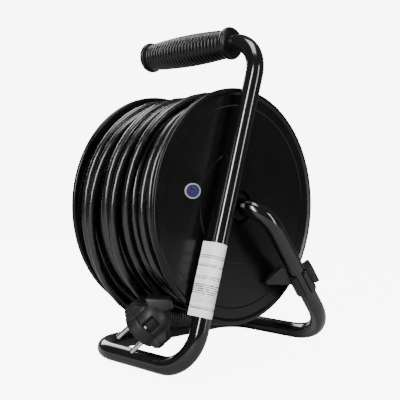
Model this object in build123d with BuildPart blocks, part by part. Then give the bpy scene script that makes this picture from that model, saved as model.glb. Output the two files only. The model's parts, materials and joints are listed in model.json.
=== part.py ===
"""Cord reel on a one-piece tube stand, with four earthed sockets in the drum.

Frame: millimetres, +Z up, origin on the floor below the middle of the drum.
The axle lies along Y. The sockets face -Y (front), the stand's mast and leg are at +Y (rear).
"""

import math
import os

from build123d import *

os.makedirs("parts", exist_ok=True)

# --------------------------------------------------------------------------
# Driving dimensions
# --------------------------------------------------------------------------
# Drum
FLANGE_D = 240.0          # outside diameter of both flanges
DRUM_W = 126.0            # overall width over the rims
CORE_D = 120.0            # outside diameter of the winding core
CORE_WALL = 3.0
RIM_W = 5.5               # width of the rounded rim bead
RIM_H = 6.0               # radial height of the rim bead
WEB_T = 3.3               # thickness of a flange's plain web
STEP_H = 0.8              # height of the shallow steps on the webs
STEP_OUTER_R = 102.0
STEP_INNER_R = 58.0
GROUND_GAP = 40.0         # floor to the drum's rim

# Hub and axle
HUB_WALL = 3.5
BUSH_WALL = 3.0
BUSH_L = 15.0
AXLE_FIT = 0.08           # radial running clearance of the bushes on the axle
AXLE_END_Y = -6.0         # front end of the axle tube
HUB_PLAY = 0.5            # axial play at each end of the hub
COLLAR_T = 3.0
COLLAR_D = 27.0
HUB_RECESS = 4.6          # how deep the hub's rear end lies below the web face
HUB_RECESS_R = 17.0
HUB_WEB_T = 3.5           # web behind the recess
RIB_T = 2.5
WELD_IN = 0.5             # how far a moulded boss or web runs into the wall it grows from
REAR_RIB_FRONT_Y = 10.0   # front edge of the rear half's ribs
END_PLUG_L = 20.0
END_SCREW_R = 2.5
END_SCREW_L = 16.0
END_HEAD_R = 5.5
END_HEAD_T = 4.0
WASHER_T = 2.0
WASHER_R = 14.0

# Stand
TUBE_D = 18.0
TUBE_WALL = 1.5
STAND_GAP = 4.0           # rim to the mast
FRONT_GAP = 4.5           # rim to the front cross rail
LEG_LEAN = 16.0           # the leg leans this much away from the drum at the axle
MAST_FOOT_X = 84.5
MAST_TOP_X = -14.6
LEG_FOOT_X = -139.5
GRIP_RISE = 171.0         # axle to the handle bar
BEND_TOP = 40.0
BEND_MAST_FOOT = 38.0
BEND_FRONT_NEAR = 39.0
BEND_FRONT_FAR = 30.0
BEND_LEG_FOOT = 58.0
BEND_AXLE = 27.0

# Handle grip
GRIP_FRONT_Y = -95.0
GRIP_CAP_T = 3.0
GRIP_END_R = 14.2
GRIP_MID_R = 17.5
GRIP_COLLAR_R = 17.0
GRIP_COLLAR_L = 5.0

# Rating label
LABEL_FOOT_Z = 58.0
LABEL_L = 74.0
LABEL_T = 0.3

# Badge
BADGE_X = 68.0
BADGE_Z_ABOVE_AXLE = 16.5
BADGE_W = 20.6
BADGE_H = 14.8
BADGE_RIM = 1.3
BADGE_T = 0.9
BADGE_FACE_T = 0.6

# Sockets
SOCKET_PITCH_R = 32.0     # socket centres from the axle
WELL_D = 39.0
WELL_DEPTH = 17.5
INSERT_WALL = 1.7
INSERT_FLOOR = 2.5
LIP_R_EXTRA = 1.2
LIP_T = 1.2
PIN_PITCH = 19.0
PIN_D = 4.8
PIN_L = 19.0
PIN_HOLE_D = 5.2
GUIDE_RIB_W = 3.0
GUIDE_RIB_H = 1.2
EARTH_T = 0.8
EARTH_W = 6.0
EARTH_LEG_L = 17.8
EARTH_INSET = 0.3         # earth legs stand this far in from the well's wall
SLOT_CLEAR = 0.2
SLEEVE_WALL = 1.0
SLEEVE_CLEAR = 0.2        # radial, round a plug pin
SLEEVE_L = 11.9
RING_T = 1.0
RING_W = 3.6
EARTH_RING_W = 2.4
SOCKETS = 4

# Socket panel
PANEL_T = 3.0
PANEL_LIP = 7.0           # how far the panel overlaps the flange beyond the core's bore
PANEL_FIT = 0.3
PANEL_RIM_W = 2.0
OPENING_FIT = 0.05
PANEL_SCREW_R = 1.5
PANEL_SCREW_L = 15.0
SCREW_HEAD_R = 3.0
SCREW_HEAD_T = 1.6
BOSS_R = 5.5
BOSS_INSET = 4.5          # boss centres inside the core's outer radius, less the wall
BOSS_L = 16.0

# Core screws
LUG_R = 6.0
LUG_T = 6.0
CORE_SCREW_R = 2.0
CORE_SCREW_CLEAR = 0.6
CORE_SCREW_L = 22.0
CORE_HEAD_R = 4.2
CORE_HEAD_T = 3.0
REAR_BOSS_L = 25.0

# Thermal cutout and reset button
CUTOUT_R = 6.8
CUTOUT_L = 24.0
CHAMBER_R = 5.5
CHAMBER_L = 12.0
BUTTON_R = 4.0
BUTTON_FIT = 0.1
BUTTON_PROUD = 3.0
BUTTON_L = 14.0
BUTTON_COLLAR_R = 5.2
BUTTON_COLLAR_T = 1.5
BUTTON_TRAVEL = 2.0
BUTTON_GAP = 0.3          # button collar behind the panel, at rest
BUTTON_EDGE_R = 0.8
SPRING_WIRE_R = 0.3
SPRING_R = 4.75
SPRING_PITCH = 1.5
SPRING_SEAT = 0.1
TAB_X = 3.5
TAB_T = 0.8
TAB_W = 5.0
TAB_L = 5.0

# Winding knob
KNOB_R = 90.0             # knob axis from the axle
KNOB_ANGLE = 135.0
KNOB_PIN_R = 4.0
KNOB_FIT = 0.1
KNOB_L = 34.0
KNOB_BASE_R = 9.0
KNOB_MAX_R = 12.5
KNOB_BOSS_R = 9.0
KNOB_BOSS_T = 1.5
KNOB_PLAY = 0.4
KNOB_HEAD_R = 6.0
KNOB_HEAD_T = 2.0
KNOB_CAP_R = 7.6
KNOB_CAP_T = 2.0
KNOB_SHOULDER = 6.8       # knob end to the shoulder that the pin's head holds

# Cord
CORD_D = 8.5
WINDING_D = 226.0
WINDING_EDGE_R = 6.0
CORD_ENTRY_ANGLE = 225.0
CORD_ENTRY_Y = -22.0
GROMMET_R = 7.0
GROMMET_LIP_R = 9.0
GROMMET_LIP_T = 2.0
GROMMET_LIP_GAP = 1.0     # the lip stands this far inside the core's bore
CORE_SUNK = 0.5           # the grommet and the cord end this far below the core's surface
INNER_END_R = 36.0        # the sheath ends this far from the axle
SHELF_T = 4.0
SHELF_W = 26.0
SHELF_INNER_R = 38.0
CLAMP_W = 26.0
CLAMP_L = 9.0
CLAMP_T = 2.25            # clamp thickness over the cord
CLAMP_R = 46.5            # clamp centre from the axle
CLAMP_SCREW_SPREAD = 9.5
CLAMP_SCREW_R = 1.5
CLAMP_HEAD_R = 2.8
CLAMP_HEAD_T = 1.4
WIRE_R = 1.3
WIRE_BEND = 3.0
LIVE_WIRE_DROP = 2.4      # live wire, in front of the cord's middle
PAIR_WIRE_RISE = 1.0      # neutral and earth wires, behind the cord's middle
WIRE_FAN = 3.5            # degrees between the live wire and the others at the jacket's end
WIRE_FAN_FREE = 5.0       # the same, where they part
WIRE_FREE_RUN = 8.0       # from the jacket's end to where the neutral and earth wires part
LIVE_WIRE_RUN = 14.0
LIVE_WIRE_DIP = 12.0      # the live wire turns up to its tab from this far below the axle
NEUTRAL_WIRE_TURN = 24.0  # degrees round the drum, from the cord to the ring it is joined to
EARTH_WIRE_TURN = 25.0
JUMPER_ANGLE = 135.0

# Drum brake
BRAKE_ALONG = 0.5         # place on the leg, as a share of the run from foot to axle
BRAKE_FIT = 0.1
BRAKE_WALL = 2.5
BRAKE_LOW = -20.0
BRAKE_HIGH = 9.0
BRAKE_NOSE_T = 5.0
BRAKE_NOSE_REACH = 34.0   # the nose's flat tip, from the leg's axis
BRAKE_NOSE_ROOT = (-4.0, 8.0)           # along the leg, from the brake's middle
BRAKE_NOSE_TIP = (14.5, 18.5)
BRAKE_NOSE_HEEL = (26.0, 2.8)           # along the leg, and out from the tube's surface
BRAKE_TAB_R = 12.0
BRAKE_TAB_T = 5.0
BRAKE_TAB_W = 12.0
BRAKE_WEB_T = 10.0
BRAKE_TAB_LOW = -13.0
BRAKE_TAB_HIGH = 11.0
BRAKE_GAP_ANGLE = 70.0    # opening of the split sleeve
NOSE_DIRECTION = (0.598, -0.636, -0.485)

# Plug
PLUG_FACE = (101.2, 21.9, 41.3)         # centre of the plug's face
PLUG_PIN_DIRECTION = (0.413, -0.605, -0.674)
PLUG_PAIR_DIRECTION = (-0.446, 0.474, -0.755)
PLUG_CORD_DIRECTION = (-0.970, 0.100, -0.200)
PLUG_D = 37.0
PLUG_FRONT_L = 16.0
PLUG_GRIP_L = 25.0
PLUG_GRIP_R = 12.0
PLUG_ELBOW_R = 9.0
PLUG_ELBOW_L = 18.0
PLUG_GROOVE_W = 9.0
PLUG_GROOVE_DEPTH = 4.0
PLUG_GROOVE_L = 14.0
PLUG_EARTH_T = 0.8
PLUG_EARTH_W = 2.6
PLUG_PIN_ROOT = 8.0
PLUG_ROOT_D = 4.0         # the pin's shank inside the rubber
PLUG_EARTH_HOLE_R = 2.6
PLUG_EARTH_HOLE_OFFSET = 10.0
RELIEF_L = 30.0
RELIEF_ROOT_R = 7.5
RELIEF_TIP_R = 5.4
TAIL_FIRST_RUN = 21.0     # the cord runs straight out of the sleeve this far
ARC_SHARE = 0.45          # the share of its shorter run that each of the cord's arcs may take

# --------------------------------------------------------------------------
# Derived positions
# --------------------------------------------------------------------------
FLANGE_R = FLANGE_D / 2
CORE_R = CORE_D / 2
CORE_BORE_R = CORE_R - CORE_WALL
TUBE_R = TUBE_D / 2
HALF_W = DRUM_W / 2
AXLE_Z = FLANGE_R + GROUND_GAP
GRIP_Z = AXLE_Z + GRIP_RISE
MAST_Y = HALF_W + STAND_GAP + TUBE_R
LEG_TOP_Y = MAST_Y + LEG_LEAN
FRONT_Y = -(HALF_W + FRONT_GAP + TUBE_R)

WEB_IN_Y = HALF_W - RIM_W
WEB_OUT_Y = WEB_IN_Y + WEB_T
WEB_HIGH_Y = WEB_OUT_Y + STEP_H
BUSH_BORE_R = TUBE_R + AXLE_FIT
HUB_BORE_R = BUSH_BORE_R + BUSH_WALL
HUB_R = HUB_BORE_R + HUB_WALL
HUB_REAR_Y = WEB_HIGH_Y - HUB_RECESS
HUB_FRONT_Y = AXLE_END_Y + HUB_PLAY

PANEL_R = CORE_BORE_R + PANEL_LIP
PANEL_FACE_Y = -HALF_W
PANEL_BACK_Y = PANEL_FACE_Y + PANEL_T
BOSS_PITCH_R = CORE_BORE_R - BOSS_INSET
INSERT_R = WELL_D / 2 + INSERT_WALL
WELL_FLOOR_Y = PANEL_FACE_Y + WELL_DEPTH
INSERT_BACK_Y = WELL_FLOOR_Y + INSERT_FLOOR
RING_FRONT_Y = INSERT_BACK_Y + SLEEVE_L
SLEEVE_BORE_R = PIN_D / 2 + SLEEVE_CLEAR
LIVE_R = SOCKET_PITCH_R - PIN_PITCH / 2
NEUTRAL_R = SOCKET_PITCH_R + PIN_PITCH / 2
CUTOUT_BACK_Y = PANEL_BACK_Y + CUTOUT_L
CORD_R = CORD_D / 2
LIP_BACK_R = CORE_BORE_R - GROMMET_LIP_GAP - GROMMET_LIP_T

AXLE = Axis((0, 0, AXLE_Z), (0, 1, 0))
SOCKET_ANGLES = [360 / SOCKETS * i for i in range(SOCKETS)]


def across(y):
    """Plane square to the axle at y, seen from the front: local x is X, local y is Z."""
    return Plane(origin=(0, y, AXLE_Z), x_dir=(1, 0, 0), z_dir=(0, -1, 0))


def polar_point(radius, angle, y):
    """Point at a radius and angle round the axle."""
    turn = math.radians(angle)
    return Vector(radius * math.cos(turn), y, AXLE_Z + radius * math.sin(turn))


def beside_axle(radius, angle, y):
    """Plane square to the axle, centred off it, with local x pointing away from the axle."""
    turn = math.radians(angle)
    outward = (math.cos(turn), 0, math.sin(turn))
    return Plane(origin=polar_point(radius, angle, y), x_dir=outward, z_dir=(0, -1, 0))


def outward_plane(radius, angle, y):
    """Plane square to a spoke of the drum: local x is Y, its normal points away from the axle."""
    turn = math.radians(angle)
    outward = (math.cos(turn), 0, math.sin(turn))
    return Plane(origin=polar_point(radius, angle, y), x_dir=(0, 1, 0), z_dir=outward)


def wire_along(points):
    """One insulated conductor along straight runs with rounded corners."""
    with BuildPart() as wire:
        with BuildLine() as route:
            FilletPolyline(*points, radius=WIRE_BEND)
        with BuildSketch(Plane(origin=route.line @ 0, z_dir=route.line % 0)):
            Circle(WIRE_R)
        sweep()
    return wire


# --------------------------------------------------------------------------
# Stand: one bent tube from the handle bar to the axle
# --------------------------------------------------------------------------
mast_foot = Vector(MAST_FOOT_X, MAST_Y, TUBE_R)
mast_top = Vector(MAST_TOP_X, MAST_Y, GRIP_Z)
leg_foot = Vector(LEG_FOOT_X, MAST_Y, TUBE_R)
leg_top = Vector(0, LEG_TOP_Y, AXLE_Z)
tube_corners = [
    Vector(MAST_TOP_X, GRIP_FRONT_Y + GRIP_CAP_T, GRIP_Z),
    mast_top,
    mast_foot,
    Vector(MAST_FOOT_X, FRONT_Y, TUBE_R),
    Vector(LEG_FOOT_X, FRONT_Y, TUBE_R),
    leg_foot,
    leg_top,
    Vector(0, AXLE_END_Y, AXLE_Z),
]
tube_bends = [BEND_TOP, BEND_MAST_FOOT, BEND_FRONT_NEAR, BEND_FRONT_FAR, BEND_LEG_FOOT, BEND_AXLE]

with BuildPart() as frame_tube:
    with BuildLine() as tube_route:
        FilletPolyline(*tube_corners, radius=tube_bends)
    with BuildSketch(Plane(origin=tube_route.line @ 0, z_dir=tube_route.line % 0)):
        Circle(TUBE_R)
        Circle(TUBE_R - TUBE_WALL, mode=Mode.SUBTRACT)
    sweep()
frame_tube.part.label = "frame_tube"
export_step(frame_tube.part, "parts/frame_tube.step")

# Rubber grip: a ribbed barrel between two collars, closed at the front end.
GRIP_REAR_Y = MAST_Y - BEND_TOP
grip_plane = Plane(origin=(MAST_TOP_X, 0, GRIP_Z), x_dir=(0, 1, 0), z_dir=(1, 0, 0))
barrel_front = GRIP_FRONT_Y + GRIP_COLLAR_L + 2
barrel_rear = GRIP_REAR_Y - GRIP_COLLAR_L - 2
with BuildPart() as handle_grip:
    with BuildSketch(grip_plane):
        with BuildLine():
            Polyline(
                (barrel_rear, GRIP_END_R),
                (barrel_rear + 2, GRIP_COLLAR_R),
                (GRIP_REAR_Y - 1.5, GRIP_COLLAR_R),
                (GRIP_REAR_Y, GRIP_COLLAR_R - 1.5),
                (GRIP_REAR_Y, TUBE_R),
                (GRIP_FRONT_Y + GRIP_CAP_T, TUBE_R),
                (GRIP_FRONT_Y + GRIP_CAP_T, 0),
                (GRIP_FRONT_Y, 0),
                (GRIP_FRONT_Y, GRIP_COLLAR_R - 1.5),
                (GRIP_FRONT_Y + 1.5, GRIP_COLLAR_R),
                (barrel_front - 2, GRIP_COLLAR_R),
                (barrel_front, GRIP_END_R),
            )
            ThreePointArc(
                (barrel_front, GRIP_END_R),
                ((barrel_front + barrel_rear) / 2, GRIP_MID_R),
                (barrel_rear, GRIP_END_R),
            )
        make_face()
    revolve(axis=Axis((MAST_TOP_X, 0, GRIP_Z), (0, 1, 0)))
handle_grip.part.label = "handle_grip"
export_step(handle_grip.part, "parts/handle_grip.step")

# Paper label wrapped round the mast.
mast_up = (mast_top - mast_foot).normalized()
label_foot = mast_foot + mast_up * ((LABEL_FOOT_Z - TUBE_R) / mast_up.Z)
with BuildPart() as rating_label:
    with BuildSketch(Plane(origin=label_foot, z_dir=mast_up)):
        Circle(TUBE_R + LABEL_T)
        Circle(TUBE_R, mode=Mode.SUBTRACT)
    extrude(amount=LABEL_L)
rating_label.part.label = "rating_label"
export_step(rating_label.part, "parts/rating_label.step")

# --------------------------------------------------------------------------
# What holds the drum on the axle
# --------------------------------------------------------------------------
with BuildPart() as axle_collar:
    with BuildSketch(across(HUB_REAR_Y + HUB_PLAY)):
        Circle(COLLAR_D / 2)
        Circle(TUBE_R, mode=Mode.SUBTRACT)
    extrude(amount=-COLLAR_T)
axle_collar.part.label = "axle_collar"
export_step(axle_collar.part, "parts/axle_collar.step")

with BuildPart() as axle_end_plug:
    with BuildSketch(across(AXLE_END_Y)):
        Circle(TUBE_R - TUBE_WALL)
        Circle(END_SCREW_R, mode=Mode.SUBTRACT)
    extrude(amount=-END_PLUG_L)
axle_end_plug.part.label = "axle_end_plug"
export_step(axle_end_plug.part, "parts/axle_end_plug.step")

with BuildPart() as retaining_washer:
    with BuildSketch(across(AXLE_END_Y)):
        Circle(WASHER_R)
        Circle(END_SCREW_R, mode=Mode.SUBTRACT)
    extrude(amount=WASHER_T)
retaining_washer.part.label = "retaining_washer"
export_step(retaining_washer.part, "parts/retaining_washer.step")

with BuildPart() as retaining_screw:
    with BuildSketch(across(AXLE_END_Y + END_SCREW_L - WASHER_T)):
        Circle(END_SCREW_R)
    extrude(amount=END_SCREW_L)
    with BuildSketch(across(AXLE_END_Y - WASHER_T)):
        RegularPolygon(END_HEAD_R, 6)
    extrude(amount=END_HEAD_T)
retaining_screw.part.label = "retaining_screw"
export_step(retaining_screw.part, "parts/retaining_screw.step")

# --------------------------------------------------------------------------
# Drum halves
# --------------------------------------------------------------------------
RIM_ROOT_R = FLANGE_R - RIM_H
with BuildPart() as rear_flange:
    with BuildSketch(Plane.XY.offset(AXLE_Z)):
        with BuildLine():
            Polyline(
                (RIM_ROOT_R, WEB_IN_Y),
                (CORE_R, WEB_IN_Y),
                (CORE_R, 0),
                (CORE_BORE_R, 0),
                (CORE_BORE_R, WEB_IN_Y),
                (HUB_R + 5, WEB_IN_Y),
                (HUB_R + 5, HUB_REAR_Y - HUB_WEB_T),
                (HUB_R, HUB_REAR_Y - HUB_WEB_T),
                (HUB_R, HUB_FRONT_Y),
                (HUB_BORE_R, HUB_FRONT_Y),
                (HUB_BORE_R, HUB_REAR_Y),
                (HUB_RECESS_R, HUB_REAR_Y),
                (HUB_RECESS_R, WEB_HIGH_Y),
                (STEP_INNER_R - 1, WEB_HIGH_Y),
                (STEP_INNER_R, WEB_OUT_Y),
                (STEP_OUTER_R, WEB_OUT_Y),
                (STEP_OUTER_R + 1, WEB_HIGH_Y),
                (RIM_ROOT_R - 1, WEB_HIGH_Y),
                (RIM_ROOT_R + RIM_W / 2 - 1, HALF_W),
                (FLANGE_R - RIM_W / 2, HALF_W),
            )
            ThreePointArc(
                (FLANGE_R - RIM_W / 2, HALF_W),
                (FLANGE_R, HALF_W - RIM_W / 2),
                (FLANGE_R - RIM_W / 2, WEB_IN_Y),
            )
            Line((FLANGE_R - RIM_W / 2, WEB_IN_Y), (RIM_ROOT_R, WEB_IN_Y))
        make_face()
    revolve(axis=AXLE)
    # Four spokes stiffen the web between the hub and the core.
    with BuildSketch(across(REAR_RIB_FRONT_Y)):
        with PolarLocations((HUB_R + CORE_BORE_R) / 2, 4, start_angle=45):
            Rectangle(CORE_BORE_R - HUB_R + 1, RIB_T)
    extrude(amount=-(WEB_IN_Y - REAR_RIB_FRONT_Y + 1))
    # Bosses that the core screws bite into.
    with BuildSketch(across(0)):
        with PolarLocations(BOSS_PITCH_R, 4):
            Circle(BOSS_R)
    extrude(amount=-REAR_BOSS_L)
    with BuildSketch(across(0)):
        with PolarLocations(BOSS_PITCH_R, 4):
            Circle(CORE_SCREW_R)
    extrude(amount=-(CORE_SCREW_L - LUG_T), mode=Mode.SUBTRACT)
rear_flange.part.label = "rear_flange"
export_step(rear_flange.part, "parts/rear_flange.step")

SEAT_R = PANEL_R + PANEL_FIT
KNOB_X = KNOB_R * math.cos(math.radians(KNOB_ANGLE))
KNOB_Z = KNOB_R * math.sin(math.radians(KNOB_ANGLE))
SHELF_Y = CORD_ENTRY_Y + CORD_R
with BuildPart() as front_flange:
    with BuildSketch(Plane.XY.offset(AXLE_Z)):
        with BuildLine():
            Polyline(
                (RIM_ROOT_R, -WEB_IN_Y),
                (CORE_R, -WEB_IN_Y),
                (CORE_R, 0),
                (CORE_BORE_R, 0),
                (CORE_BORE_R, PANEL_BACK_Y),
                (SEAT_R, PANEL_BACK_Y),
                (SEAT_R, -HALF_W),
                (SEAT_R + PANEL_RIM_W, -HALF_W),
                (SEAT_R + PANEL_RIM_W + 0.5, -WEB_OUT_Y),
                (STEP_OUTER_R, -WEB_OUT_Y),
                (STEP_OUTER_R + 1, -WEB_HIGH_Y),
                (RIM_ROOT_R - 1, -WEB_HIGH_Y),
                (RIM_ROOT_R + RIM_W / 2 - 1, -HALF_W),
                (FLANGE_R - RIM_W / 2, -HALF_W),
            )
            ThreePointArc(
                (FLANGE_R - RIM_W / 2, -HALF_W),
                (FLANGE_R, -HALF_W + RIM_W / 2),
                (FLANGE_R - RIM_W / 2, -WEB_IN_Y),
            )
            Line((FLANGE_R - RIM_W / 2, -WEB_IN_Y), (RIM_ROOT_R, -WEB_IN_Y))
        make_face()
    revolve(axis=AXLE)
    # Lugs with clear holes for the core screws.
    with BuildSketch(across(0)):
        with PolarLocations(BOSS_PITCH_R, 4):
            Circle(LUG_R)
    extrude(amount=LUG_T)
    with BuildSketch(across(0)):
        with PolarLocations(BOSS_PITCH_R, 4):
            Circle(CORE_SCREW_R + CORE_SCREW_CLEAR)
    extrude(amount=LUG_T, mode=Mode.SUBTRACT)
    # Bosses for the panel screws.
    with BuildSketch(across(PANEL_BACK_Y)):
        with PolarLocations(BOSS_PITCH_R, 4, start_angle=45):
            Circle(BOSS_R)
    extrude(amount=-BOSS_L)
    with BuildSketch(across(PANEL_BACK_Y)):
        with PolarLocations(BOSS_PITCH_R, 4, start_angle=45):
            Circle(PANEL_SCREW_R)
    extrude(amount=-(PANEL_SCREW_L - PANEL_T), mode=Mode.SUBTRACT)
    # Boss and hole for the knob's pin.
    with BuildSketch(across(-WEB_OUT_Y)):
        with Locations((KNOB_X, KNOB_Z)):
            Circle(KNOB_BOSS_R)
    extrude(amount=KNOB_BOSS_T)
    with BuildSketch(across(-WEB_IN_Y)):
        with Locations((KNOB_X, KNOB_Z)):
            Circle(KNOB_PIN_R)
    extrude(amount=WEB_T + KNOB_BOSS_T, mode=Mode.SUBTRACT)
    # Shelf that the cord is clamped to, and the cord's hole through the core.
    shelf_outer_r = CORE_BORE_R + WELD_IN
    with BuildSketch(beside_axle((SHELF_INNER_R + shelf_outer_r) / 2, CORD_ENTRY_ANGLE, SHELF_Y)):
        Rectangle(shelf_outer_r - SHELF_INNER_R, SHELF_W)
    extrude(amount=-SHELF_T)
    with BuildSketch(beside_axle(CLAMP_R, CORD_ENTRY_ANGLE, SHELF_Y)):
        with Locations((0, -CLAMP_SCREW_SPREAD), (0, CLAMP_SCREW_SPREAD)):
            Circle(CLAMP_SCREW_R)
    extrude(amount=-SHELF_T, mode=Mode.SUBTRACT)
    with BuildSketch(outward_plane(LIP_BACK_R, CORD_ENTRY_ANGLE, CORD_ENTRY_Y)):
        Circle(GROMMET_R)
    extrude(amount=CORE_R + WELD_IN - LIP_BACK_R, mode=Mode.SUBTRACT)
    with BuildSketch(outward_plane(LIP_BACK_R, CORD_ENTRY_ANGLE, CORD_ENTRY_Y)):
        Circle(GROMMET_LIP_R)
    extrude(amount=GROMMET_LIP_T, mode=Mode.SUBTRACT)
front_flange.part.label = "front_flange"
export_step(front_flange.part, "parts/front_flange.step")

with BuildPart() as hub_bush_rear:
    with BuildSketch(across(HUB_REAR_Y)):
        Circle(HUB_BORE_R)
        Circle(BUSH_BORE_R, mode=Mode.SUBTRACT)
    extrude(amount=BUSH_L)
hub_bush_rear.part.label = "hub_bush_rear"
export_step(hub_bush_rear.part, "parts/hub_bush_rear.step")

with BuildPart() as hub_bush_front:
    with BuildSketch(across(HUB_FRONT_Y)):
        Circle(HUB_BORE_R)
        Circle(BUSH_BORE_R, mode=Mode.SUBTRACT)
    extrude(amount=-BUSH_L)
hub_bush_front.part.label = "hub_bush_front"
export_step(hub_bush_front.part, "parts/hub_bush_front.step")

with BuildPart() as core_screws:
    with BuildSketch(across(CORE_SCREW_L - LUG_T)):
        with PolarLocations(BOSS_PITCH_R, 4):
            Circle(CORE_SCREW_R)
    extrude(amount=CORE_SCREW_L)
    with BuildSketch(across(-LUG_T)):
        with PolarLocations(BOSS_PITCH_R, 4):
            Circle(CORE_HEAD_R)
    extrude(amount=CORE_HEAD_T)
core_screws.part.label = "core_screws"
export_step(core_screws.part, "parts/core_screws.step")

# Oval badge on the rear web.
badge_plane = Plane(
    origin=(BADGE_X, WEB_OUT_Y, AXLE_Z + BADGE_Z_ABOVE_AXLE),
    x_dir=(-1, 0, 0),
    z_dir=(0, 1, 0),
)
with BuildPart() as badge_rim:
    with BuildSketch(badge_plane):
        Ellipse(BADGE_W / 2, BADGE_H / 2)
        Ellipse(BADGE_W / 2 - BADGE_RIM, BADGE_H / 2 - BADGE_RIM, mode=Mode.SUBTRACT)
    extrude(amount=BADGE_T)
badge_rim.part.label = "badge_rim"
export_step(badge_rim.part, "parts/badge_rim.step")

with BuildPart() as badge_face:
    with BuildSketch(badge_plane):
        Ellipse(BADGE_W / 2 - BADGE_RIM, BADGE_H / 2 - BADGE_RIM)
    extrude(amount=BADGE_FACE_T)
badge_face.part.label = "badge_face"
export_step(badge_face.part, "parts/badge_face.step")

# --------------------------------------------------------------------------
# Socket panel and sockets
# --------------------------------------------------------------------------
with BuildPart() as socket_panel:
    with BuildSketch(across(PANEL_BACK_Y)):
        Circle(PANEL_R)
        with PolarLocations(SOCKET_PITCH_R, SOCKETS):
            Circle(INSERT_R + OPENING_FIT, mode=Mode.SUBTRACT)
        with PolarLocations(BOSS_PITCH_R, 4, start_angle=45):
            Circle(PANEL_SCREW_R, mode=Mode.SUBTRACT)
        Circle(BUTTON_R + BUTTON_FIT, mode=Mode.SUBTRACT)
    extrude(amount=PANEL_T)
socket_panel.part.label = "socket_panel"
export_step(socket_panel.part, "parts/socket_panel.step")

with BuildPart() as panel_screws:
    with BuildSketch(across(PANEL_FACE_Y + PANEL_SCREW_L)):
        with PolarLocations(BOSS_PITCH_R, 4, start_angle=45):
            Circle(PANEL_SCREW_R)
    extrude(amount=PANEL_SCREW_L)
    with BuildSketch(across(PANEL_FACE_Y)):
        with PolarLocations(BOSS_PITCH_R, 4, start_angle=45):
            Circle(SCREW_HEAD_R)
    extrude(amount=SCREW_HEAD_T)
panel_screws.part.label = "panel_screws"
export_step(panel_screws.part, "parts/panel_screws.step")

EARTH_LEG_OUT = WELL_D / 2 - EARTH_INSET
EARTH_LEG_IN = EARTH_LEG_OUT - EARTH_T
EARTH_LEG_MID = (EARTH_LEG_OUT + EARTH_LEG_IN) / 2
for number, angle in enumerate(SOCKET_ANGLES, start=1):
    with BuildPart() as socket_insert:
        with BuildSketch(beside_axle(SOCKET_PITCH_R, angle, INSERT_BACK_Y)):
            Circle(INSERT_R)
        extrude(amount=INSERT_BACK_Y - PANEL_FACE_Y)
        with BuildSketch(beside_axle(SOCKET_PITCH_R, angle, PANEL_FACE_Y)):
            Circle(INSERT_R + LIP_R_EXTRA)
        extrude(amount=LIP_T)
        with BuildSketch(beside_axle(SOCKET_PITCH_R, angle, WELL_FLOOR_Y)):
            Circle(WELL_D / 2)
            with Locations((-WELL_D / 2, 0), (WELL_D / 2, 0)):
                Rectangle(2 * GUIDE_RIB_H, GUIDE_RIB_W, mode=Mode.SUBTRACT)
        extrude(amount=WELL_DEPTH + LIP_T, mode=Mode.SUBTRACT)
        with BuildSketch(beside_axle(SOCKET_PITCH_R, angle, INSERT_BACK_Y)):
            with Locations((-PIN_PITCH / 2, 0), (PIN_PITCH / 2, 0)):
                Circle(PIN_HOLE_D / 2)
            with Locations((0, -EARTH_LEG_MID), (0, EARTH_LEG_MID)):
                Rectangle(EARTH_W + 2 * SLOT_CLEAR, EARTH_T + 2 * SLOT_CLEAR)
        extrude(amount=INSERT_FLOOR, mode=Mode.SUBTRACT)
    socket_insert.part.label = f"socket_insert_{number}"
    export_step(socket_insert.part, f"parts/socket_insert_{number}.step")

    # Earth strap: a U whose legs stand in the well, one each side.
    turn = math.radians(angle)
    strap_plane = Plane(
        origin=polar_point(SOCKET_PITCH_R, angle, INSERT_BACK_Y + EARTH_T),
        x_dir=(-math.sin(turn), 0, math.cos(turn)),
        z_dir=(math.cos(turn), 0, math.sin(turn)),
    )
    with BuildPart() as earth_clip:
        with BuildSketch(strap_plane):
            with Locations((0, EARTH_T / 2)):
                Rectangle(2 * EARTH_LEG_OUT, EARTH_T)
            with Locations((-EARTH_LEG_MID, EARTH_LEG_L / 2), (EARTH_LEG_MID, EARTH_LEG_L / 2)):
                Rectangle(EARTH_T, EARTH_LEG_L)
        extrude(amount=EARTH_W / 2, both=True)
    earth_clip.part.label = f"earth_clip_{number}"
    export_step(earth_clip.part, f"parts/earth_clip_{number}.step")

# Contact rings: each carries one spring sleeve per socket.
with BuildPart() as live_contact_ring:
    with BuildSketch(across(RING_FRONT_Y)):
        Circle(LIVE_R + RING_W / 2)
        Circle(LIVE_R - RING_W / 2, mode=Mode.SUBTRACT)
    extrude(amount=-RING_T)
    with BuildSketch(across(RING_FRONT_Y)):
        with PolarLocations(LIVE_R, SOCKETS):
            Circle(SLEEVE_BORE_R + SLEEVE_WALL)
    extrude(amount=SLEEVE_L)
    with BuildSketch(across(RING_FRONT_Y + RING_T)):
        with PolarLocations(LIVE_R, SOCKETS):
            Circle(SLEEVE_BORE_R)
    extrude(amount=SLEEVE_L + RING_T, mode=Mode.SUBTRACT)
live_contact_ring.part.label = "live_contact_ring"
export_step(live_contact_ring.part, "parts/live_contact_ring.step")

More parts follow.
